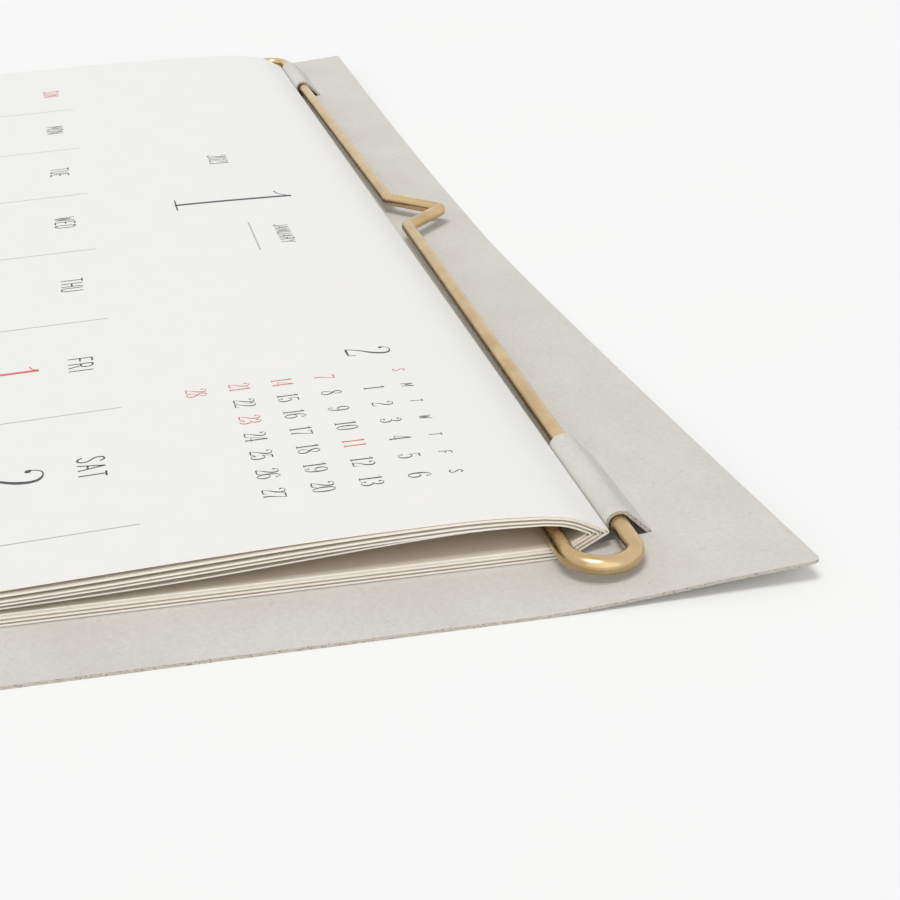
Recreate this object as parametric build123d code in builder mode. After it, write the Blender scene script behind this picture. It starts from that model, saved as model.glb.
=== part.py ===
from build123d import *
import os
from math import asin, atan2, cos, degrees, hypot, radians, sin, tan

os.makedirs("parts", exist_ok=True)

# A folded-sheet wall calendar lying on its back, sizes in millimetres.
# +X is the calendar's right, +Y its top edge, +Z comes out of its front.

# backing board
board_w = 324.0
board_h = 251.0
board_t = 0.5
corner_r = 1.0

# loose sheets, each one folded once and hung on the wire
sheet_count = 7
page_w = 297.0
page_h = 210.0
paper_t = 0.22
paper_pitch = 0.25
paper_rest = 0.02
fold_angle = 29.0
fold_r = 0.13
lower_bend_r = 3.0
side_slip = [0.0, 0.25, -0.15, 0.3, -0.1, 0.2, -0.25]

# wire hanger
wire_d = 2.6
wire_y = 106.55
loop_gap = 9.4
loop_reach = 156.8
hook_w = 19.0
hook_h = 12.6
hook_r = 2.0
end_gap = 3.0
end_x = 60.0
end_round = 0.3

# card flaps cut out of the board, folded over the wire
flap_w = 26.0
flap_x = 133.5
flap_side_gap = 0.15
hinge_y = 111.4
flap_end_z = 3.0

# clearances
wire_on_paper = 0.05
flap_on_wire = 0.1
nose_to_flap = 0.15

# heights that follow from the stack of paper on the board
wire_r = wire_d / 2
paper_base = board_t + paper_rest
stack_h = sheet_count * paper_pitch
wire_z = paper_base + stack_h + wire_on_paper + wire_r
inner_y = wire_y - loop_gap
nose_y = wire_y - wire_r - flap_on_wire - board_t - nose_to_flap
nose_z = wire_z + 0.15
free_y = nose_y - page_h
apex_step = paper_pitch / sin(radians(fold_angle))

# flap section: a ramp up from the crease, a curl over the wire, a short tail down
flap_in_r = wire_r + flap_on_wire
flap_out_r = flap_in_r + board_t
flap_mid_r = flap_in_r + board_t / 2
rise = wire_z - board_t / 2
run = hinge_y - wire_y
ramp_dir = radians(180) - atan2(rise, run) - asin(flap_mid_r / hypot(rise, run))
touch_dir = ramp_dir - radians(90)
ramp_len = (hypot(rise, run) ** 2 - flap_mid_r**2) ** 0.5
curl_len = flap_mid_r * (radians(180) - touch_dir)
tail_len = wire_z - flap_end_z
window_h = ramp_len + curl_len + tail_len
window_y = hinge_y - window_h / 2


def ring_point(radius, angle):
    """Point on a circle round the outer wire leg, in the board's side view."""
    return (wire_y + radius * cos(angle), wire_z + radius * sin(angle))


def ramp_foot(radius, height):
    """Where the ramp face that runs on to the given circle meets a height."""
    y, z = ring_point(radius, touch_dir)
    return (y + (height - z) / tan(ramp_dir), height)


# The board is one sheet of grey card. Two flaps are cut in it on three sides,
# creased along the fourth and curled over the wire, leaving a window below each.
top_foot = ramp_foot(flap_out_r, board_t)
under_foot = ramp_foot(flap_in_r, 0)
root_y = max(top_foot[0], under_foot[0]) + 1.5
top_touch = ring_point(flap_out_r, touch_dir)
top_over = ring_point(flap_out_r, (touch_dir + radians(180)) / 2)
top_side = ring_point(flap_out_r, radians(180))
in_touch = ring_point(flap_in_r, touch_dir)
in_over = ring_point(flap_in_r, (touch_dir + radians(180)) / 2)
in_side = ring_point(flap_in_r, radians(180))

with BuildPart() as backing_board:
    with BuildSketch(Plane.XY):
        RectangleRounded(board_w, board_h, corner_r)
        with Locations((flap_x, window_y), (-flap_x, window_y)):
            Rectangle(flap_w, window_h, mode=Mode.SUBTRACT)
    extrude(amount=board_t)
    for side in (1, -1):
        with BuildSketch(Plane.YZ.offset(side * flap_x)):
            with BuildLine():
                Line((root_y, board_t), top_foot)
                Line(top_foot, top_touch)
                ThreePointArc(top_touch, top_over, top_side)
                Line(top_side, (top_side[0], flap_end_z))
                Line((top_side[0], flap_end_z), (in_side[0], flap_end_z))
                Line((in_side[0], flap_end_z), in_side)
                ThreePointArc(in_side, in_over, in_touch)
                Line(in_touch, under_foot)
                Line(under_foot, (root_y, 0))
                Line((root_y, 0), (root_y, board_t))
            make_face()
        extrude(amount=flap_w / 2 - flap_side_gap, both=True)

backing_board.part.label = "backing_board"
export_step(backing_board.part, "parts/backing_board.step")

# The hanger is one length of brass wire bent into a long flat loop. The outer leg
# runs under the flaps with a V bent in its middle, the inner leg holds the folds.
bend_x = loop_reach - loop_gap / 2
mid_y = wire_y - loop_gap / 2
right_end = end_x + end_gap / 2
left_end = end_x - end_gap / 2

with BuildPart() as wire_hanger:
    with BuildLine(Plane.XY.offset(wire_z)) as wire_path:
        Line((right_end, inner_y), (bend_x, inner_y))
        ThreePointArc((bend_x, inner_y), (loop_reach, mid_y), (bend_x, wire_y))
        FilletPolyline(
            (bend_x, wire_y),
            (hook_w / 2, wire_y),
            (0, wire_y + hook_h),
            (-hook_w / 2, wire_y),
            (-bend_x, wire_y),
            radius=hook_r,
        )
        ThreePointArc((-bend_x, wire_y), (-loop_reach, mid_y), (-bend_x, inner_y))
        Line((-bend_x, inner_y), (left_end, inner_y))
    with BuildSketch(Plane(origin=(right_end, inner_y, wire_z), z_dir=(1, 0, 0))):
        Circle(wire_r)
    sweep()
    wire_ends = wire_hanger.edges().filter_by(GeomType.CIRCLE)
    wire_ends = wire_ends.filter_by(lambda e: abs(e.center().X - end_x) < end_gap)
    fillet(wire_ends, radius=end_round)

wire_hanger.part.label = "wire_hanger"
export_step(wire_hanger.part, "parts/wire_hanger.step")

# Heights of the upper leaves' top faces above the paper's base, one row a sheet,
# from the outermost in: leaving the fold, over the hump, then settling apart.
stations = [12.0, 17.4, 28.0, 41.0, 55.0, 68.0, 82.0, 110.0, 150.0]
leaf_tops = [
    [7.11, 7.41, 7.35, 7.05, 6.47, 5.85, 5.17, 4.43, 4.01],
    [6.84, 7.12, 7.03, 6.57, 5.81, 5.09, 4.51, 3.99, 3.70],
    [6.57, 6.83, 6.73, 6.27, 5.52, 4.81, 4.23, 3.72, 3.43],
    [6.30, 6.54, 6.39, 5.81, 4.99, 4.31, 3.79, 3.39, 3.16],
    [6.03, 6.25, 6.09, 5.52, 4.71, 4.04, 3.52, 3.12, 2.89],
    [5.76, 5.96, 5.79, 5.23, 4.43, 3.77, 3.25, 2.85, 2.62],
    [5.49, 5.65, 5.25, 4.37, 3.45, 2.89, 2.53, 2.35, 2.27],
]
leaf_steps = [9.0, 10.5, 12.0, 13.8, 15.6, 17.4, 19.5, 21.6, 24.0, 26.4, 28.8, 32.0, 35.5, 39.0]
leaf_steps += [43.0 + 4.0 * i for i in range(18)] + [118.0 + 7.0 * i for i in range(13)] + [page_h]
rest_gap = 0.04
flank_len = 3.2
hump_r = 14.0
hump_angle = 14.0


def leaf_height(number, start, s):
    """Height of an upper leaf's top face, eased through its stations."""
    rest_top = stack_h + (sheet_count - number) * (paper_t + rest_gap) + rest_gap
    xs = [start[0]] + stations + [page_h]
    zs = [start[1]] + leaf_tops[number] + [rest_top]
    slopes = [tan(crest)]
    for i in range(1, len(xs) - 1):
        before = (zs[i] - zs[i - 1]) / (xs[i] - xs[i - 1])
        after = (zs[i + 1] - zs[i]) / (xs[i + 1] - xs[i])
        share = (xs[i] - xs[i - 1]) / (xs[i + 1] - xs[i - 1])
        slopes.append(before * (1 - share) + after * share)
    slopes.append(0.0)
    i = max(j for j in range(len(xs) - 1) if xs[j] <= s)
    step = xs[i + 1] - xs[i]
    u = (s - xs[i]) / step
    ends = (2 * u**3 - 3 * u**2 + 1) * zs[i] + (3 * u**2 - 2 * u**3) * zs[i + 1]
    return ends + step * ((u**3 - 2 * u**2 + u) * slopes[i] + (u**3 - u**2) * slopes[i + 1])


def leaf_points(number, start, depth):
    """Side view of an upper leaf from the hump to its free edge, sunk by depth."""
    sunk = []
    for s in leaf_steps:
        z = leaf_height(number, start, s)
        lean = 0.0
        if s < page_h:
            rise_here = leaf_height(number, start, s + 0.05) - leaf_height(number, start, s - 0.05)
            lean = atan2(rise_here, 0.1)
        sunk.append((nose_y - s - depth * sin(lean), paper_base + z - depth * cos(lean)))
    return sunk


# Each sheet is one piece of paper folded across the middle into two leaves. The
# seven nest in one another, and the fold of each one stands inside the last.
half = radians(fold_angle)
crest = radians(hump_angle)
out_r = fold_r + paper_t
hump_foot = (nose_y - out_r + out_r * sin(half) - flank_len * cos(half), nose_z + out_r * cos(half))
hump_foot = (hump_foot[0], hump_foot[1] + flank_len * sin(half))
hump_y = hump_foot[0] - hump_r * sin(half)
hump_z = hump_foot[1] - hump_r * cos(half)


def hump_arc(radius):
    """Arc on which an upper leaf turns off its flank towards the hump."""
    turns = (half, (half + crest) / 2, crest)
    return [(hump_y + radius * sin(a), hump_z + radius * cos(a)) for a in turns]


def foot_arc(start, floor, radius):
    """Arc on which a lower leaf turns off its flank to lie flat."""
    corner_y = start[0] - (start[1] - floor) / tan(half)
    reach = radius * tan(half / 2)
    begin = (corner_y + reach * cos(half), floor + reach * sin(half))
    end = (corner_y - reach, floor)
    middle = (end[0] + radius * sin(half / 2), floor + radius * (1 - cos(half / 2)))
    return begin, middle, end


for number in range(sheet_count):
    apex_y = nose_y - number * apex_step
    fold_y = apex_y - out_r
    floor_z = paper_base + number * paper_pitch
    out_up = (fold_y + out_r * sin(half), nose_z + out_r * cos(half))
    in_up = (fold_y + fold_r * sin(half), nose_z + fold_r * cos(half))
    out_low = (out_up[0], nose_z - out_r * cos(half))
    in_low = (in_up[0], nose_z - fold_r * cos(half))
    hump_out = hump_r - number * paper_pitch
    foot_in = lower_bend_r + (sheet_count - 1 - number) * paper_pitch
    out_foot = foot_arc(out_low, floor_z, foot_in + paper_t)
    in_foot = foot_arc(in_low, floor_z + paper_t, foot_in)
    out_hump = hump_arc(hump_out)
    in_hump = hump_arc(hump_out - paper_t)
    start = (nose_y - out_hump[2][0], out_hump[2][1] - paper_base)
    top = [out_hump[2]] + leaf_points(number, start, 0)
    under = [in_hump[2]] + leaf_points(number, start, paper_t)
    under.reverse()
    with BuildPart() as folded_sheet:
        with BuildSketch(Plane.YZ.offset(side_slip[number])):
            with BuildLine():
                Line((free_y, floor_z), out_foot[2])
                ThreePointArc(out_foot[2], out_foot[1], out_foot[0])
                Line(out_foot[0], out_low)
                ThreePointArc(out_low, (apex_y, nose_z), out_up)
                Line(out_up, out_hump[0])
                ThreePointArc(out_hump[0], out_hump[1], out_hump[2])
                Polyline(*top)
                Line(top[-1], under[0])
                Polyline(*under)
                ThreePointArc(in_hump[2], in_hump[1], in_hump[0])
                Line(in_hump[0], in_up)
                ThreePointArc(in_up, (fold_y + fold_r, nose_z), in_low)
                Line(in_low, in_foot[0])
                ThreePointArc(in_foot[0], in_foot[1], in_foot[2])
                Line(in_foot[2], (free_y, floor_z + paper_t))
                Line((free_y, floor_z + paper_t), (free_y, floor_z))
            make_face()
        extrude(amount=page_w / 2, both=True)
    folded_sheet.part.label = f"folded_sheet_{number + 1}"
    export_step(folded_sheet.part, f"parts/folded_sheet_{number + 1}.step")
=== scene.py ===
from math import asin, atan2, cos, hypot, pi, radians, sin

import bmesh
import bpy
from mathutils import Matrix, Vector


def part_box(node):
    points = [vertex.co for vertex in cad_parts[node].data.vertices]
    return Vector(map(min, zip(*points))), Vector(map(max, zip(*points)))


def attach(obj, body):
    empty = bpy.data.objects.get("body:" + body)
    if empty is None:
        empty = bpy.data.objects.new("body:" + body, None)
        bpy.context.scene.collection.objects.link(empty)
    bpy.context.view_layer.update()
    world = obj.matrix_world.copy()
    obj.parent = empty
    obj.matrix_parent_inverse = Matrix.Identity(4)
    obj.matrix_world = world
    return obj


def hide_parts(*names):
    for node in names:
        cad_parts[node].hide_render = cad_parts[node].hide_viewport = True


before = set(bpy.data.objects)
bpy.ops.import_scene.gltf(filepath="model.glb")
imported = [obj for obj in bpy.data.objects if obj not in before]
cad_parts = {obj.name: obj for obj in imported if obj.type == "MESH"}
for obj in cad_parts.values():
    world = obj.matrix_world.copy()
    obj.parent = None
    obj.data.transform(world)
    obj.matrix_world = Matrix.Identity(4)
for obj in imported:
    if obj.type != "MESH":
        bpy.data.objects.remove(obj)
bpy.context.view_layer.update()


# The backing board is one sheet of uncoated grey recycled card, die-cut and left flat.
# Two flaps are cut in it on three sides, creased along the fourth and curled over the
# wire, and each leaves a window below it. The card has curled up at its top corners.
MM = 0.001
BOARD_W = 324.0
BOARD_H = 251.0
CARD_T = 0.5
CORNER_R = 1.0
FLAP_W = 26.0
FLAP_X = 133.5
FLAP_SIDE_GAP = 0.15
CREASE_Y = 111.4
FLAP_END_Z = 3.0
FLAP_ON_WIRE = 0.1
WIRE_R = 1.3
WIRE_Y = 106.55
WIRE_Z = 3.62
PAGE_SIDE = 148.5

# The curl, as the lift at a top corner, where it starts, and how the top edge runs out.
CORNER_LIFT = 3.05
CURL_FROM_X = 30.0
CURL_FROM_Y = 98.5
CURL_FROM_Y_EDGE = 92.0
SIDE_BEND = 1.5
PAGE_BEND = 0.85
EDGE_BEND = 1.2
SKEW_FROM_Y = 113.0
SKEW_FROM_X = 14.0
SKEW_LEFT = -1.5
SKEW_RIGHT = 3.5
SKEW_BEND = 1.5


def share(value, low, high):
    """Where a value stands between two others, from 0 to 1."""
    return min(1.0, max(0.0, (value - low) / (high - low)))


def card_lift(x, y):
    """How far the card has curled up off the table at a place on it."""
    side = share(abs(x), CURL_FROM_X, BOARD_W / 2)
    margin = share(abs(x), PAGE_SIDE, BOARD_W / 2)
    start = CURL_FROM_Y + (CURL_FROM_Y_EDGE - CURL_FROM_Y) * margin
    along = share(y, start, BOARD_H / 2) ** (PAGE_BEND + (EDGE_BEND - PAGE_BEND) * margin)
    return CORNER_LIFT * side**SIDE_BEND * along


def on_card(x, y, z):
    """A place on the flat card, moved to where the curled card lies."""
    skew = SKEW_LEFT + (SKEW_RIGHT - SKEW_LEFT) * share(x, SKEW_FROM_X, BOARD_W / 2)
    run_out = skew * share(y, SKEW_FROM_Y, BOARD_H / 2) ** SKEW_BEND
    return (x, y + run_out, z + card_lift(x, y))


def on_flap(x, y, z):
    """A place on a flap, which leaves the card at its crease and stays on the wire."""
    return (x, y, z + card_lift(x, y) * share(y, WIRE_Y, CREASE_Y))


def steps(low, high, size):
    """Even steps from low to high, each about the size given."""
    count = max(1, round((high - low) / size))
    return [low + (high - low) * i / count for i in range(count + 1)]


def swept(outline, stations, place):
    """Vertices and faces of a closed side view run across the calendar, ends last."""
    verts = [place(x, y, z) for x in stations for y, z in outline]
    n = len(outline)
    faces = []
    for row in range(len(stations) - 1):
        for i in range(n):
            j = (i + 1) % n
            faces.append((row * n + i, row * n + j, (row + 1) * n + j, (row + 1) * n + i))
    faces.append(tuple(range(n)))
    faces.append(tuple(range((len(stations) - 1) * n, len(stations) * n)))
    return verts, faces


def make_piece(name, verts, faces, finishes, edge_faces=(), smooth_to=35.0):
    """A mesh piece from vertices in millimetres. The edge faces take the second finish."""
    mesh = bpy.data.meshes.new(name)
    mesh.from_pydata([[c * MM for c in v] for v in verts], [], faces)
    for finish in finishes:
        mesh.materials.append(finish)
    edges = set(edge_faces)
    for face in mesh.polygons:
        face.use_smooth = True
        face.material_index = 1 if face.index in edges else 0
    shape = bmesh.new()
    shape.from_mesh(mesh)
    bmesh.ops.recalc_face_normals(shape, faces=shape.faces)
    shape.to_mesh(mesh)
    shape.free()
    mesh.set_sharp_from_angle(angle=radians(smooth_to))
    piece = bpy.data.objects.new(name, mesh)
    bpy.context.scene.collection.objects.link(piece)
    return piece


def colour(code):
    """An sRGB hex colour as the linear colour that a shader takes."""
    parts = [int(code[i:i + 2], 16) / 255 for i in (1, 3, 5)]
    linear = [c / 12.92 if c <= 0.04045 else ((c + 0.055) / 1.055) ** 2.4 for c in parts]
    return (*linear, 1.0)


def add(nodes, kind, sockets=(), **settings):
    """Adds one shader node with its settings, and sets or joins its input sockets."""
    made = nodes.nodes.new("ShaderNode" + kind)
    for name, value in settings.items():
        setattr(made, name, value)
    for name, value in dict(sockets).items():
        socket = next(s for s in made.inputs if s.identifier == name)
        if isinstance(value, bpy.types.NodeSocket):
            nodes.links.new(value, socket)
        else:
            socket.default_value = value
    return made


def new_finish(name, roughness, specular):
    """A new material: itself, its nodes, its shader and the place on the surface."""
    finish = bpy.data.materials.new(name)
    finish.use_nodes = True
    shader = finish.node_tree.nodes["Principled BSDF"]
    shader.inputs["Roughness"].default_value = roughness
    shader.inputs["Specular IOR Level"].default_value = specular
    place = add(finish.node_tree, "TexCoord").outputs["Object"]
    return finish, finish.node_tree, shader, place


def lay_over(nodes, pattern, low, high, under, over, most=1.0):
    """Lays one colour over another where a pattern goes from low to high, up to a share."""
    amount = add(nodes, "MapRange", {"Value": pattern, "From Min": low, "From Max": high, "To Max": most})
    sockets = {"Factor_Float": amount.outputs["Result"], "A_Color": under, "B_Color": over}
    laid = add(nodes, "Mix", sockets, data_type="RGBA")
    return next(s for s in laid.outputs if s.identifier == "Result_Color")


# Grey recycled card is pulped waste paper, pressed and left uncoated. It looks matt,
# with soft clouds, a fine pulp grain and short darker and paler fibres lying any way.
CARD_CLOUD = 0.014
CARD_PULP = 0.0007
FIBRE_WIDE = 0.00028
FIBRE_LONG = 0.0026
FIBRE_DEEP = 0.01
CARD_TOOTH = 0.00004
card, nodes, shader, place = new_finish("grey_recycled_card", 0.9, 0.25)
clouds = add(nodes, "TexNoise", {"Vector": place, "Scale": 1 / CARD_CLOUD, "Detail": 4.0})
pulp = add(nodes, "TexNoise", {"Vector": place, "Scale": 1 / CARD_PULP, "Detail": 5.0, "Roughness": 0.6})
tone = lay_over(nodes, clouds.outputs["Fac"], 0.3, 0.7, colour("#D4D1CA"), colour("#DAD8D1"))
tone = lay_over(nodes, pulp.outputs["Fac"], 0.62, 0.36, tone, colour("#C3BEB6"), 0.3)
for turn, shade in ((0.5, "#9C968B"), (2.4, "#A8A195"), (1.5, "#EDEBE6"), (3.6, "#B0A48F")):
    lying = {
        "Vector": place,
        "Location": (turn, turn, turn),
        "Rotation": (0.0, 0.0, turn),
        "Scale": (FIBRE_WIDE, FIBRE_LONG, FIBRE_DEEP),
    }
    laid = add(nodes, "Mapping", lying, vector_type="TEXTURE").outputs["Vector"]
    strands = add(nodes, "TexNoise", {"Vector": laid, "Scale": 1.0, "Detail": 1.0, "Distortion": 0.6})
    tone = lay_over(nodes, strands.outputs["Fac"], 0.72, 0.8, tone, colour(shade), 0.5)
nodes.links.new(tone, shader.inputs["Base Color"])
bump = add(nodes, "Bump", {"Height": pulp.outputs["Fac"], "Strength": 0.5, "Distance": CARD_TOOTH})
nodes.links.new(bump.outputs["Normal"], shader.inputs["Normal"])

# A die-cut edge of the same card shows its plies: browner and darker than the face,
# streaked along the board, with dark specks of old print.
PLY_T = 0.00016
SPECK = 0.00035
PLY_RUN = 0.0012
cut_card, nodes, shader, place = new_finish("die_cut_card_edge", 0.95, 0.2)
streaked = {"Vector": place, "Scale": (PLY_RUN, PLY_RUN, PLY_T)}
laid = add(nodes, "Mapping", streaked, vector_type="TEXTURE").outputs["Vector"]
plies = add(nodes, "TexNoise", {"Vector": laid, "Scale": 1.0, "Detail": 3.0})
specks = add(nodes, "TexNoise", {"Vector": place, "Scale": 1 / SPECK, "Detail": 2.0})
tone = lay_over(nodes, plies.outputs["Fac"], 0.35, 0.65, colour("#B4ACA1"), colour("#C9C3B9"))
tone = lay_over(nodes, specks.outputs["Fac"], 0.55, 0.66, tone, colour("#625C54"), 0.6)
nodes.links.new(tone, shader.inputs["Base Color"])

# The flap's side view, worked out as the die cutter's blank is: a ramp up from the
# crease, a curl round the wire and a short tail down.
in_r = WIRE_R + FLAP_ON_WIRE
out_r = in_r + CARD_T
mid_r = in_r + CARD_T / 2
rise = WIRE_Z - CARD_T / 2
run = CREASE_Y - WIRE_Y
ramp_dir = pi - atan2(rise, run) - asin(mid_r / hypot(rise, run))
touch_dir = ramp_dir - pi / 2
ramp_len = (hypot(rise, run) ** 2 - mid_r**2) ** 0.5
window_h = ramp_len + mid_r * (pi - touch_dir) + WIRE_Z - FLAP_END_Z
window_low = CREASE_Y - window_h


def ring(radius, angle):
    """Point on a circle round the outer wire leg, in the side view."""
    return (WIRE_Y + radius * cos(angle), WIRE_Z + radius * sin(angle))


def ramp(radius, height):
    """Where the ramp face that runs on to the given circle meets a height."""
    y, z = ring(radius, touch_dir)
    return (y + (height - z) * cos(ramp_dir) / sin(ramp_dir), height)


def between(start, end, count):
    """Points on a straight run, from its start to just short of its end."""
    return [tuple(a + (b - a) * i / count for a, b in zip(start, end)) for i in range(count)]


CURL_STEPS = 14
RAMP_STEPS = 4
ROOT_IN = 1.0
ROOT_SUNK = 0.02
turns = [touch_dir + (pi - touch_dir) * i / CURL_STEPS for i in range(CURL_STEPS + 1)]
foot = ramp(out_r, CARD_T)
under = ramp(in_r, 0.0)
flap_outline = [(foot[0] + ROOT_IN, CARD_T - ROOT_SUNK)]
flap_outline += between(foot, ring(out_r, touch_dir), RAMP_STEPS)
flap_outline += [ring(out_r, a) for a in turns]
flap_outline += [(WIRE_Y - out_r, FLAP_END_Z), (WIRE_Y - in_r, FLAP_END_Z)]
flap_outline += [ring(in_r, a) for a in reversed(turns)]
flap_outline += between(under, ring(in_r, touch_dir), RAMP_STEPS)[::-1]
flap_outline += [(under[0] + ROOT_IN, ROOT_SUNK)]

# The flat of the board is a grid of cells over the card, left out at the windows.
CELL_W = 6.0
CELL_PLAIN = 12.0
CELL_CURLED = 2.5
CELL_TOP = 1.5
CURLED_FROM = 90.0
FLAP_CELL = 3.0
half_w = BOARD_W / 2
half_h = BOARD_H / 2
window_sides = [(s * FLAP_X - FLAP_W / 2, s * FLAP_X + FLAP_W / 2) for s in (-1, 1)]


def grid_lines(half, runs):
    """Grid lines from one rim of the card to the other, close together at its corners."""
    near = [0.0, 0.15 * CORNER_R, 0.5 * CORNER_R, CORNER_R]
    lines = [-half + r for r in near]
    for low, high, size in runs:
        lines += steps(low, high, size)[1:]
    return lines + [half - r for r in near[2::-1]]


breaks = [-half_w + CORNER_R, *window_sides[0], *window_sides[1], half_w - CORNER_R]
cuts_x = grid_lines(half_w, [(low, high, CELL_W) for low, high in zip(breaks, breaks[1:])])
cuts_y = grid_lines(half_h, [
    (-half_h + CORNER_R, CURLED_FROM, CELL_PLAIN),
    (CURLED_FROM, window_low, CELL_CURLED),
    (window_low, CREASE_Y, CELL_CURLED),
    (CREASE_Y, half_h - CORNER_R, CELL_TOP),
])


def rounded_corner(x, y):
    """A grid place drawn in to the rounded corner of the card."""
    dx = abs(x) - (half_w - CORNER_R)
    dy = abs(y) - (half_h - CORNER_R)
    if dx <= 0 or dy <= 0:
        return x, y
    pull = max(dx, dy) / hypot(dx, dy)
    x = (abs(x) - dx + dx * pull) * (1 if x > 0 else -1)
    return x, (abs(y) - dy + dy * pull) * (1 if y > 0 else -1)


def cell_is_card(i, j):
    """Whether a grid cell is card, and not outside it or in a window."""
    if not (0 <= i < len(cuts_x) - 1 and 0 <= j < len(cuts_y) - 1):
        return False
    x = (cuts_x[i] + cuts_x[i + 1]) / 2
    y = (cuts_y[j] + cuts_y[j + 1]) / 2
    in_window = any(low < x < high for low, high in window_sides)
    return not (in_window and window_low < y < CREASE_Y)


rows = len(cuts_y)
verts = []
for level in (0.0, CARD_T):
    for x in cuts_x:
        for y in cuts_y:
            verts.append(on_card(*rounded_corner(x, y), level))
layer = len(cuts_x) * rows
faces = []
edges = []
for i in range(len(cuts_x) - 1):
    for j in range(rows - 1):
        if not cell_is_card(i, j):
            continue
        a = i * rows + j
        b = a + rows
        c = b + 1
        d = a + 1
        faces.append((a, d, c, b))
        faces.append((a + layer, b + layer, c + layer, d + layer))
        sides = (((i, j - 1), a, b), ((i + 1, j), b, c), ((i, j + 1), c, d), ((i - 1, j), d, a))
        for beside, p, q in sides:
            if not cell_is_card(*beside):
                edges.append(len(faces))
                faces.append((p, q, q + layer, p + layer))
inset = FLAP_W / 2 - FLAP_SIDE_GAP
for middle in (-FLAP_X, FLAP_X):
    across = steps(middle - inset, middle + inset, FLAP_CELL)
    flap_verts, flap_faces = swept(flap_outline, across, on_flap)
    base = len(verts)
    verts += flap_verts
    edges += [len(faces) + len(flap_faces) - 2, len(faces) + len(flap_faces) - 1]
    faces += [tuple(k + base for k in face) for face in flap_faces]
used = sorted({k for face in faces for k in face})
renumber = {old: new for new, old in enumerate(used)}
verts = [verts[k] for k in used]
faces = [tuple(renumber[k] for k in face) for face in faces]
board = make_piece("backing_board_card", verts, faces, [card, cut_card], edges)
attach(board, "root")
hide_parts("backing_board")


# The hanger is one length of drawn brass wire bent into a long flat loop, with a V in
# its outer leg to hang it by. The flaps hold the outer leg and the inner leg lies in
# the folds of the sheets, where its two cut ends meet.
LOOP_GAP = 9.4
LOOP_REACH = 156.8
HOOK_W = 19.0
HOOK_H = 12.6
HOOK_R = 2.0
END_X = 60.0
END_GAP = 3.0
BEND_STEPS = 10
LOOP_STEPS = 32


def arc(middle, radius, start, end, count):
    """Points on an arc between two angles in degrees."""
    turns = [radians(start + (end - start) * i / count) for i in range(count + 1)]
    return [(middle[0] + radius * cos(a), middle[1] + radius * sin(a)) for a in turns]


def bent(before, corner, after, radius):
    """Points round one bend of the wire."""
    to_before = (Vector(before) - Vector(corner)).normalized()
    to_after = (Vector(after) - Vector(corner)).normalized()
    half_turn = to_before.angle(to_after) / 2
    middle = Vector(corner) + (to_before + to_after).normalized() * radius / sin(half_turn)
    reach = radius * cos(half_turn) / sin(half_turn)
    first = Vector(corner) + to_before * reach - middle
    last = Vector(corner) + to_after * reach - middle
    return [tuple(middle + first.slerp(last, i / BEND_STEPS)) for i in range(BEND_STEPS + 1)]


inner_y = WIRE_Y - LOOP_GAP
mid_y = WIRE_Y - LOOP_GAP / 2
bend_x = LOOP_REACH - LOOP_GAP / 2
hook = [
    (bend_x, WIRE_Y),
    (HOOK_W / 2, WIRE_Y),
    (0.0, WIRE_Y + HOOK_H),
    (-HOOK_W / 2, WIRE_Y),
    (-bend_x, WIRE_Y),
]
path = [(END_X + END_GAP / 2, inner_y)]
path += arc((bend_x, mid_y), LOOP_GAP / 2, -90, 90, LOOP_STEPS)
for before, corner, after in zip(hook, hook[1:], hook[2:]):
    path += bent(before, corner, after, HOOK_R)
path += arc((-bend_x, mid_y), LOOP_GAP / 2, 90, 270, LOOP_STEPS)
path += [(END_X - END_GAP / 2, inner_y)]
line = bpy.data.curves.new("wire_hanger_line", "CURVE")
line.dimensions = "3D"
line.bevel_depth = WIRE_R * MM
line.bevel_resolution = 10
line.use_fill_caps = True
spline = line.splines.new("POLY")
spline.points.add(len(path) - 1)
for point, (x, y) in zip(spline.points, path):
    point.co = (x * MM, y * MM, WIRE_Z * MM, 1.0)
wire = bpy.data.objects.new("wire_hanger_brass", line)
bpy.context.scene.collection.objects.link(wire)

# Drawn brass wire, tumbled to a satin finish and left bare: warm gold with a broad
# soft highlight, finer than a mirror and a little darker where it was handled.
TUMBLE_GRAIN = 0.0005
HANDLED_PATCH = 0.006
TUMBLE_DEEP = 0.00001
brass, nodes, shader, place = new_finish("satin_drawn_brass", 0.26, 0.5)
shader.inputs["Metallic"].default_value = 1.0
grain = add(nodes, "TexNoise", {"Vector": place, "Scale": 1 / TUMBLE_GRAIN, "Detail": 3.0})
patches = add(nodes, "TexNoise", {"Vector": place, "Scale": 1 / HANDLED_PATCH, "Detail": 3.0})
tone = lay_over(nodes, patches.outputs["Fac"], 0.35, 0.7, colour("#D0B68B"), colour("#BEA277"))
nodes.links.new(tone, shader.inputs["Base Color"])
satin = {"Value": grain.outputs["Fac"], "From Min": 0.3, "From Max": 0.7, "To Min": 0.22, "To Max": 0.3}
gloss = add(nodes, "MapRange", satin)
nodes.links.new(gloss.outputs["Result"], shader.inputs["Roughness"])
bump = add(nodes, "Bump", {"Height": grain.outputs["Fac"], "Strength": 0.08, "Distance": TUMBLE_DEEP})
nodes.links.new(bump.outputs["Normal"], shader.inputs["Normal"])
line.materials.append(brass)
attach(wire, "root")
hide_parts("wire_hanger")


# The sheets are seven loose pieces of uncoated paper, each folded once and nested in
# the next. Their side views come from the frame, and each is swept across the page
# with the slight wave that paper takes up.
WAVE_H = 0.14
WAVE_L = 170.0
WAVE_FROM_Y = 80.0
WAVE_FULL_Y = 20.0
WAVE_FROM_Z = 2.6
WAVE_FULL_Z = 4.0
SHEETS = 7
SHEET_CELL = 12.0

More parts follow.
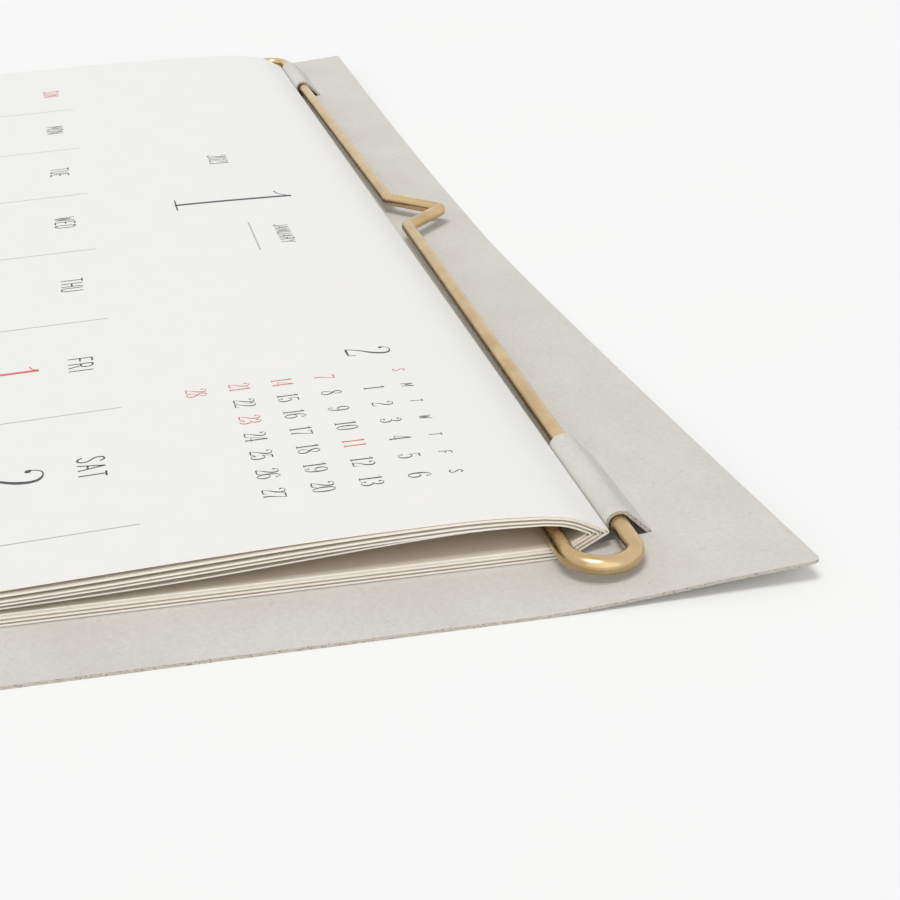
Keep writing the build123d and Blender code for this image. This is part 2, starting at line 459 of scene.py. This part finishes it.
# Uncoated wood-free paper is calendered but not coated: matt, near white with a little
# warmth, and a faint tooth. The inner sheets are the same paper with painted shade:
# coloured warmer and darker to stand in for the shade that falls between the leaves.
PAPER_GRAIN = 0.0005
PAPER_TOOTH = 0.00002
PAPER_FORMATION = 0.006
PAPER = {}
for name, thin, thick in (
    ("uncoated_white_paper", "#EFEFEC", "#F1F0EE"),
    ("uncoated_paper_inside", "#DFD5C4", "#E4DBCC"),
):
    PAPER[name], nodes, shader, place = new_finish(name, 0.92, 0.2)
    tooth = add(nodes, "TexNoise", {"Vector": place, "Scale": 1 / PAPER_GRAIN, "Detail": 4.0})
    formation = add(nodes, "TexNoise", {"Vector": place, "Scale": 1 / PAPER_FORMATION, "Detail": 3.0})
    tone = lay_over(nodes, formation.outputs["Fac"], 0.3, 0.7, colour(thin), colour(thick))
    nodes.links.new(tone, shader.inputs["Base Color"])
    bump = add(nodes, "Bump", {"Height": tooth.outputs["Fac"], "Strength": 0.3, "Distance": PAPER_TOOTH})
    nodes.links.new(bump.outputs["Normal"], shader.inputs["Normal"])

# The guillotined edges of the same paper look creamier, faintly streaked along the cut, and are painted
# paler than the face as painted light on the upright cut faces.
CUT_STREAK = 0.0015
cut_paper, nodes, shader, place = new_finish("guillotined_paper_edge_painted_light", 0.95, 0.15)
streaks = add(nodes, "TexNoise", {"Vector": place, "Scale": 1 / CUT_STREAK, "Detail": 3.0})
tone = lay_over(nodes, streaks.outputs["Fac"], 0.3, 0.7, colour("#F8F2E8"), colour("#FCF9F3"))
nodes.links.new(tone, shader.inputs["Base Color"])


def side_view(node):
    """The outline of a sheet at its right-hand edge, in order, as (y, z) in millimetres."""
    same = 1e-6
    shape = bmesh.new()
    shape.from_mesh(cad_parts[node].data)
    bmesh.ops.remove_doubles(shape, verts=shape.verts, dist=same)
    right = max(v.co.x for v in shape.verts)
    ends = [f for f in shape.faces if all(abs(v.co.x - right) < same for v in f.verts)]
    joined = {}
    for face in ends:
        for edge in face.edges:
            if sum(other in ends for other in edge.link_faces) == 1:
                for one, two in (edge.verts, reversed(edge.verts)):
                    joined.setdefault(one, []).append(two)
    start = min(joined, key=lambda v: (round(v.co.y, 6), v.co.z))
    outline = [start]
    before = None
    here = start
    while True:
        onward = [v for v in joined[here] if v is not before]
        before, here = here, onward[0]
        if here is start:
            break
        outline.append(here)
    points = [(v.co.y / MM, v.co.z / MM) for v in outline]
    shape.free()
    return points


def in_wave(x, y, z):
    """A place on a sheet, with the paper's slight wave where the leaf is free to rise."""
    loose = share(-y, -WAVE_FROM_Y, -WAVE_FULL_Y) * share(z, WAVE_FROM_Z, WAVE_FULL_Z)
    return (x, y, z + WAVE_H * loose * sin(2 * pi * (x + 0.5 * y) / WAVE_L))


# The outermost sheet's front is kept as a line in side view, for the print to lie on.
AT_EDGE = 0.01
top_line = []
for number in range(1, SHEETS + 1):
    node = f"folded_sheet_{number}"
    outline = side_view(node)
    lowest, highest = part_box(node)
    stations = steps(lowest[0] / MM, highest[0] / MM, SHEET_CELL)
    verts, faces = swept(outline, stations, in_wave)
    free_y = min(y for y, z in outline)
    ends = [len(faces) - 2, len(faces) - 1]
    n = len(outline)
    for i, (y, z) in enumerate(outline):
        if abs(y - free_y) < AT_EDGE and abs(outline[(i + 1) % n][0] - free_y) < AT_EDGE:
            ends += [row * n + i for row in range(len(stations) - 1)]
    # Sheets 2 to 7 take the paper with painted shade, warmer and darker for the shade between the leaves.
    face_paper = PAPER["uncoated_white_paper" if number == 1 else "uncoated_paper_inside"]
    # The cut edges take the edge paper, whose paler colour is partly painted light.
    sheet = make_piece(f"paper_sheet_{number}", verts, faces, [face_paper, cut_paper], ends)
    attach(sheet, "root")
    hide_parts(node)
    if number == 1:
        nose = max(range(n), key=lambda i: outline[i][0])
        turned = outline[nose:] + outline[:nose]
        upward = turned[5][1] > turned[0][1]
        if not upward:
            turned = [turned[0]] + turned[:0:-1]
        free = next(i for i, (y, z) in enumerate(turned) if abs(y - free_y) < AT_EDGE)
        top_line = turned[:free + 1]


# The print is offset ink on the front of the outermost sheet: one month of dates below
# a head with the month's number, and the next month small at the right.
INK_H = 0.03
NUMERAL_W = 0.48
LETTER_GAP = 0.24
PAGE_TOP_Y = top_line[0][0]
# Offset ink soaked into uncoated paper is matt and thins slightly over its tooth.
INK_SPREAD = 0.0002
INK = {}
for name, shade in (("slate_ink", "#3A434C"), ("red_ink", "#E06A55"), ("grey_ink", "#B9B9B7")):
    ink, nodes, shader, place = new_finish(name, 0.8, 0.2)
    spread = add(nodes, "TexNoise", {"Vector": place, "Scale": 1 / INK_SPREAD, "Detail": 2.0})
    tone = lay_over(nodes, spread.outputs["Fac"], 0.4, 0.8, colour(shade), colour("#E6E5E2"), 0.25)
    nodes.links.new(tone, shader.inputs["Base Color"])
    INK[name] = {"finish": ink, "verts": [], "faces": []}


def on_page(x, down):
    """A place on the front of the outermost sheet, just above the paper."""
    y = PAGE_TOP_Y - down
    for (y_a, z_a), (y_b, z_b) in zip(top_line, top_line[1:]):
        if y_b <= y <= y_a and y_a > y_b:
            x, y, z = in_wave(x, y, z_a + (z_b - z_a) * (y_a - y) / (y_a - y_b))
            return (x, y, z + INK_H)
    return (x, y, top_line[-1][1] + INK_H)


# Each numeral is drawn as pen strokes in a box one unit high, as (x, y, half width):
# hairlines that swell to a stem. A stroke of a single point is a round ball end.
HAIR = 0.013
STEM = 0.045
H, T = HAIR, STEM
NUMERALS = {
    "0": [
        [(.24, .99, H), (.10, .86, .03), (.05, .5, T), (.10, .14, .03), (.24, .01, H),
         (.38, .14, .03), (.43, .5, T), (.38, .86, .03), (.24, .99, H)],
    ],
    "1": [
        [(.25, 0, T), (.25, .5, T), (.25, 1, T)],
        [(.1, .01, H), (.4, .01, H)],
        [(.25, .99, H), (.17, .9, H), (.08, .87, H)],
    ],
    "2": [
        [(.09, .8, .055)],
        [(.05, .8, H), (.11, .95, H), (.24, .99, H), (.38, .92, .035), (.41, .76, T),
         (.34, .55, .04), (.16, .28, .02), (.05, .03, H)],
        [(.05, .03, .03), (.3, .03, .03), (.43, .04, H)],
        [(.43, .03, H), (.44, .2, H)],
    ],
    "3": [
        [(.1, .83, .05)],
        [(.06, .84, H), (.12, .96, H), (.23, .99, H), (.35, .9, .035), (.37, .77, T),
         (.32, .6, .03), (.18, .53, H)],
        [(.18, .53, H), (.34, .47, .03), (.42, .28, T), (.36, .09, .035), (.22, .01, H),
         (.1, .04, H), (.05, .17, H)],
        [(.1, .2, .05)],
    ],
    "4": [
        [(.33, 0, T), (.33, .5, T), (.33, 1, T)],
        [(.31, .98, H), (.16, .62, H), (.02, .27, H)],
        [(.02, .26, H), (.46, .26, H)],
        [(.22, .01, H), (.44, .01, H)],
    ],
    "5": [
        [(.1, .98, H), (.09, .5, H)],
        [(.1, .95, .035), (.38, .95, .03)],
        [(.09, .52, H), (.2, .62, H), (.34, .56, .03), (.42, .32, T), (.36, .09, .035),
         (.22, .01, H), (.1, .04, H), (.05, .15, H)],
        [(.1, .18, .05)],
    ],
    "6": [
        [(.38, .82, .045)],
        [(.4, .86, H), (.36, .97, H), (.27, .99, H), (.12, .85, .03), (.05, .5, T),
         (.09, .14, .035), (.24, .01, H), (.38, .12, .03), (.43, .31, T), (.37, .5, .03),
         (.25, .57, H), (.12, .5, H), (.07, .36, H)],
    ],
    "7": [
        [(.06, .96, .035), (.25, .95, .03), (.45, .97, H)],
        [(.05, .98, H), (.04, .8, H)],
        [(.45, .96, H), (.33, .62, .02), (.22, .3, .035), (.2, .0, T)],
    ],
    "8": [
        [(.24, .99, H), (.12, .9, .03), (.09, .78, .04), (.16, .6, .035), (.34, .44, .04),
         (.43, .25, .04), (.38, .08, .03), (.23, .01, H), (.09, .08, .02), (.05, .24, .025),
         (.12, .42, H), (.3, .58, H), (.39, .76, .025), (.36, .91, .02), (.24, .99, H)],
    ],
}
NUMERALS["9"] = [[(NUMERAL_W - x, 1 - y, w) for x, y, w in stroke] for stroke in NUMERALS["6"]]

# The capitals are a light condensed face of even strokes, each a run of "x,y" points.
CAPITALS = {
    "A": ["0,0 .22,1 .44,0", ".08,.36 .36,.36"],
    "D": ["0,0 0,1 .2,1 .38,.84 .4,.5 .38,.16 .2,0 0,0"],
    "E": [".36,0 0,0 0,1 .36,1", "0,.52 .3,.52"],
    "F": ["0,0 0,1 .36,1", "0,.5 .3,.5"],
    "H": ["0,0 0,1", ".4,0 .4,1", "0,.5 .4,.5"],
    "I": [".1,0 .1,1"],
    "J": [".3,1 .3,.2 .22,.02 .1,0 0,.16"],
    "M": ["0,0 0,1 .24,.3 .48,1 .48,0"],
    "N": ["0,0 0,1 .4,0 .4,1"],
    "O": [".2,1 .04,.86 0,.5 .04,.14 .2,0 .36,.14 .4,.5 .36,.86 .2,1"],
    "R": ["0,0 0,1 .24,1 .36,.88 .36,.64 .24,.52 0,.52", ".2,.52 .4,0"],
    "S": [".38,.82 .3,.97 .18,1 .05,.9 .04,.7 .18,.53 .34,.38 .38,.2 .3,.04 .18,0 .05,.05 0,.2"],
    "T": [".2,0 .2,1", "0,1 .4,1"],
    "U": ["0,1 0,.2 .08,.03 .2,0 .32,.03 .4,.2 .4,1"],
    "W": ["0,1 .14,0 .28,.8 .42,0 .56,1"],
    "Y": ["0,1 .2,.48 .4,1", ".2,.48 .2,0"],
}
STROKE_STEPS = 6
BALL_SIDES = 12


def smooth_stroke(points):
    """A pen stroke eased through its points, as many short steps."""
    if len(points) < 3:
        return points
    run = [points[0]] + list(points) + [points[-1]]
    eased = []
    for four in zip(run, run[1:], run[2:], run[3:]):
        for i in range(STROKE_STEPS):
            u = i / STROKE_STEPS
            step = []
            for p, q, r, s in zip(*four):
                square = (2 * p - 5 * q + 4 * r - s) * u**2
                cube = (3 * q - p - 3 * r + s) * u**3
                step.append(0.5 * (2 * q + (r - p) * u + square + cube))
            eased.append(tuple(step))
    return eased + [points[-1]]


def draw_stroke(ink, points):
    """One inked stroke on the page, from (x, down, half width) in millimetres."""
    verts = INK[ink]["verts"]
    faces = INK[ink]["faces"]
    last = None
    for i, (x, down, width) in enumerate(points):
        before = points[max(0, i - 1)]
        after = points[min(len(points) - 1, i + 1)]
        dx, dy = after[0] - before[0], after[1] - before[1]
        size = hypot(dx, dy) or 1.0
        side = (-dy / size * width, dx / size * width)
        here = len(verts)
        verts += [on_page(x + side[0], down + side[1]), on_page(x - side[0], down - side[1])]
        if last is not None:
            faces.append((last, last + 1, here + 1, here))
        last = here


def draw_ball(ink, x, down, radius):
    """A round spot of ink on the page."""
    base = len(INK[ink]["verts"])
    turns = [2 * pi * i / BALL_SIDES for i in range(BALL_SIDES)]
    INK[ink]["verts"] += [on_page(x + radius * cos(a), down + radius * sin(a)) for a in turns]
    INK[ink]["faces"].append(tuple(range(base, base + BALL_SIDES)))


def draw_number(ink, text, x, middle, height, weight=1.0):
    """A number centred on a place on the page, height in millimetres."""
    left = x - len(text) * NUMERAL_W * height / 2
    for digit in text:
        for stroke in NUMERALS[digit]:
            placed = []
            for x_in, y_in, width in smooth_stroke(stroke):
                down = middle + (0.5 - y_in) * height
                placed.append((left + x_in * height, down, width * height * weight))
            if len(placed) == 1:
                draw_ball(ink, *placed[0])
            else:
                draw_stroke(ink, placed)
        left += NUMERAL_W * height


def draw_word(ink, text, x, middle, height, pen):
    """A word in capitals centred on a place on the page, height and pen in millimetres."""
    shapes = []
    for letter in text:
        strokes = [stroke.split() for stroke in CAPITALS[letter]]
        shapes.append([[tuple(float(c) for c in p.split(",")) for p in stroke] for stroke in strokes])
    widths = [max(p[0] for stroke in shape for p in stroke) for shape in shapes]
    left = x - (sum(widths) + LETTER_GAP * (len(text) - 1)) * height / 2
    for shape, width in zip(shapes, widths):
        for stroke in shape:
            inked = [(left + p[0] * height, middle + (0.5 - p[1]) * height, pen / 2) for p in stroke]
            for a, b in zip(inked, inked[1:]):
                draw_stroke(ink, [a, b])
        left += (width + LETTER_GAP) * height


# The month's grid: seven columns between grey hairline rules, day names above them.
COLUMN_W = 39.1
ROW_H = 27.6
DAY_NAMES = ["SUN", "MON", "TUE", "WED", "THU", "FRI", "SAT"]
DAY_NAME_DOWN = 66.4
DAY_NAME_H = 3.9
DAY_NAME_PEN = 0.28
RULE_TOP = 61.0
RULE_FOOT = 203.0
RULE_STEP = 2.0
RULE_PEN = 0.18
for k in range(1, len(DAY_NAMES) + 1):
    x = (k - 3.5) * COLUMN_W
    draw_stroke("grey_ink", [(x, down, RULE_PEN / 2) for down in steps(RULE_TOP, RULE_FOOT, RULE_STEP)])
for k, name in enumerate(DAY_NAMES):
    ink = "slate_ink" if k else "red_ink"
    draw_word(ink, name, (k - 3) * COLUMN_W, DAY_NAME_DOWN, DAY_NAME_H, DAY_NAME_PEN)

# The dates, five rows of them. A date that would start a sixth row goes small below
# the one a week before it. Sundays and holidays are red.
DAYS = 31
FIRST_COLUMN = 5
HOLIDAYS = (1, 11)
DATE_TOP = 73.0
DATE_H = 11.0
DATE_WEIGHT = 0.8
DATE_ROWS = 5
LATE_DATE_DOWN = 8.0
LATE_DATE_H = 5.5
LATE_DATE_WEIGHT = 0.9
for day in range(1, DAYS + 1):
    row, column = divmod(day - 1 + FIRST_COLUMN, 7)
    ink = "red_ink" if column == 0 or day in HOLIDAYS else "slate_ink"
    x = (column - 3) * COLUMN_W
    if row < DATE_ROWS:
        draw_number(ink, str(day), x, DATE_TOP + DATE_H / 2 + row * ROW_H, DATE_H, DATE_WEIGHT)
    else:
        down = DATE_TOP + DATE_H + (DATE_ROWS - 1) * ROW_H + LATE_DATE_DOWN
        draw_number(ink, str(day), x, down, LATE_DATE_H, LATE_DATE_WEIGHT)

# The next month, small in the top right-hand corner, with its number beside it.
NEXT_DAYS = 28
NEXT_FIRST_COLUMN = 1
NEXT_HOLIDAYS = (11, 23)
NEXT_RIGHT = 133.9
NEXT_COLUMN_W = 6.27
NEXT_ROW_H = 6.7
NEXT_TOP = 22.7
NEXT_H = 3.2
NEXT_HEAD_DOWN = 17.5
NEXT_HEAD_H = 1.9
NEXT_HEAD_PEN = 0.16
NEXT_NUMBER_AT = (87.4, 20.7, 7.4, 0.8)
draw_number("slate_ink", "2", *NEXT_NUMBER_AT)
for k, name in enumerate(DAY_NAMES):
    ink = "slate_ink" if k else "red_ink"
    x = NEXT_RIGHT - (6 - k) * NEXT_COLUMN_W
    draw_word(ink, name[0], x, NEXT_HEAD_DOWN, NEXT_HEAD_H, NEXT_HEAD_PEN)
for day in range(1, NEXT_DAYS + 1):
    row, column = divmod(day - 1 + NEXT_FIRST_COLUMN, 7)
    ink = "red_ink" if column == 0 or day in NEXT_HOLIDAYS else "slate_ink"
    x = NEXT_RIGHT - (6 - column) * NEXT_COLUMN_W
    draw_number(ink, str(day), x, NEXT_TOP + row * NEXT_ROW_H, NEXT_H)

# The head: the month's number tall and thin in the middle, with the year to its left
# and the month's name over a short rule to its right, as (x, down, height, weight).
MONTH_AT = (-3.5, 31.5, 24.5, 0.45)
YEAR_AT = (-36.0, 31.0, 4.2, 0.9)
NAME_AT = (22.0, 24.5, 2.8, 0.22)
NAME_RULE_DOWN = 30.5
NAME_RULE_PEN = 0.3
draw_number("slate_ink", "1", *MONTH_AT)
draw_number("slate_ink", "2021", *YEAR_AT)
draw_word("slate_ink", "JANUARY", *NAME_AT)
draw_stroke("grey_ink", [(x, NAME_RULE_DOWN, NAME_RULE_PEN / 2) for x in (13.0, 22.0, 31.0)])

for name, drawn in INK.items():
    finishes = [drawn["finish"]]
    printed = make_piece("print_" + name, drawn["verts"], drawn["faces"], finishes, smooth_to=180.0)
    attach(printed, "root")


# The setting is a plain matt white table top, with the camera low over the calendar's
# right-hand side.
TABLE = 6.0
TABLE_MOTTLE = 0.05
table, nodes, shader, place = new_finish("matt_white_table_top", 1.0, 0.0)
mottle = add(nodes, "TexNoise", {"Vector": place, "Scale": 1 / TABLE_MOTTLE, "Detail": 2.0})
tone = lay_over(nodes, mottle.outputs["Fac"], 0.3, 0.7, colour("#F8F8F8"), colour("#F9F9F8"))
nodes.links.new(tone, shader.inputs["Base Color"])
top = bpy.data.meshes.new("table_top")
corners = [(-TABLE, -TABLE, 0), (TABLE, -TABLE, 0), (TABLE, TABLE, 0), (-TABLE, TABLE, 0)]
top.from_pydata(corners, [], [(0, 1, 2, 3)])
top.materials.append(table)
floor = bpy.data.objects.new("table_top", top)
bpy.context.scene.collection.objects.link(floor)

# The light is mostly even white from all round, seen as full white behind the calendar
# and in the brass. One overhead softbox gives the shadows, and a wide fill the edges.
AMBIENT = 0.52
OVERHEAD = 0.42
FILL = 0.25
world = bpy.data.worlds.new("studio")
bpy.context.scene.world = world
world.use_nodes = True
nodes = world.node_tree
nodes.nodes.clear()
ray = add(nodes, "LightPath").outputs
direct = {"Value": ray["Is Camera Ray"], "Value_001": ray["Is Glossy Ray"]}
seen = add(nodes, "Math", direct, operation="MAXIMUM")
through = {"Value": seen.outputs["Value"], "Value_001": ray["Is Transmission Ray"]}
seen = add(nodes, "Math", through, operation="MAXIMUM")
level = add(nodes, "MapRange", {"Value": seen.outputs["Value"], "To Min": AMBIENT, "To Max": 1.0})
sky = add(nodes, "Background", {"Color": (1.0, 1.0, 1.0, 1.0), "Strength": level.outputs["Result"]})
add(nodes, "OutputWorld", {"Surface": sky.outputs["Background"]})

for name, lean, power, spread in (
    ("overhead_softbox", (-0.32, 0.3, -1.0), OVERHEAD, 22.0),
    ("front_fill", (-1.0, 0.1, -0.35), FILL, 80.0),
):
    lamp = bpy.data.lights.new(name, "SUN")
    lamp.angle = radians(spread)
    lamp.energy = power * pi
    softbox = bpy.data.objects.new(name, lamp)
    softbox.rotation_euler = Vector(lean).to_track_quat("-Z", "Y").to_euler()
    bpy.context.scene.collection.objects.link(softbox)

# The camera stands close to the near end, which makes the far end small.
AZIMUTH = radians(76.146)
ELEVATION = radians(25.357)
CAMERA_AT = (0.32994, 0.03779, 0.10693)
LENS_MM = 65.07
lens = bpy.data.cameras.new("camera")
lens.sensor_width = 36.0
lens.lens = LENS_MM
lens.clip_start = 0.01
lens.clip_end = 50.0
camera = bpy.data.objects.new("camera", lens)
camera.location = CAMERA_AT
level = cos(ELEVATION)
aim = Vector((-sin(AZIMUTH) * level, cos(AZIMUTH) * level, -sin(ELEVATION)))
camera.rotation_euler = aim.to_track_quat("-Z", "Y").to_euler()
bpy.context.scene.collection.objects.link(camera)
bpy.context.scene.camera = camera
bpy.context.scene.view_settings.view_transform = "Standard"
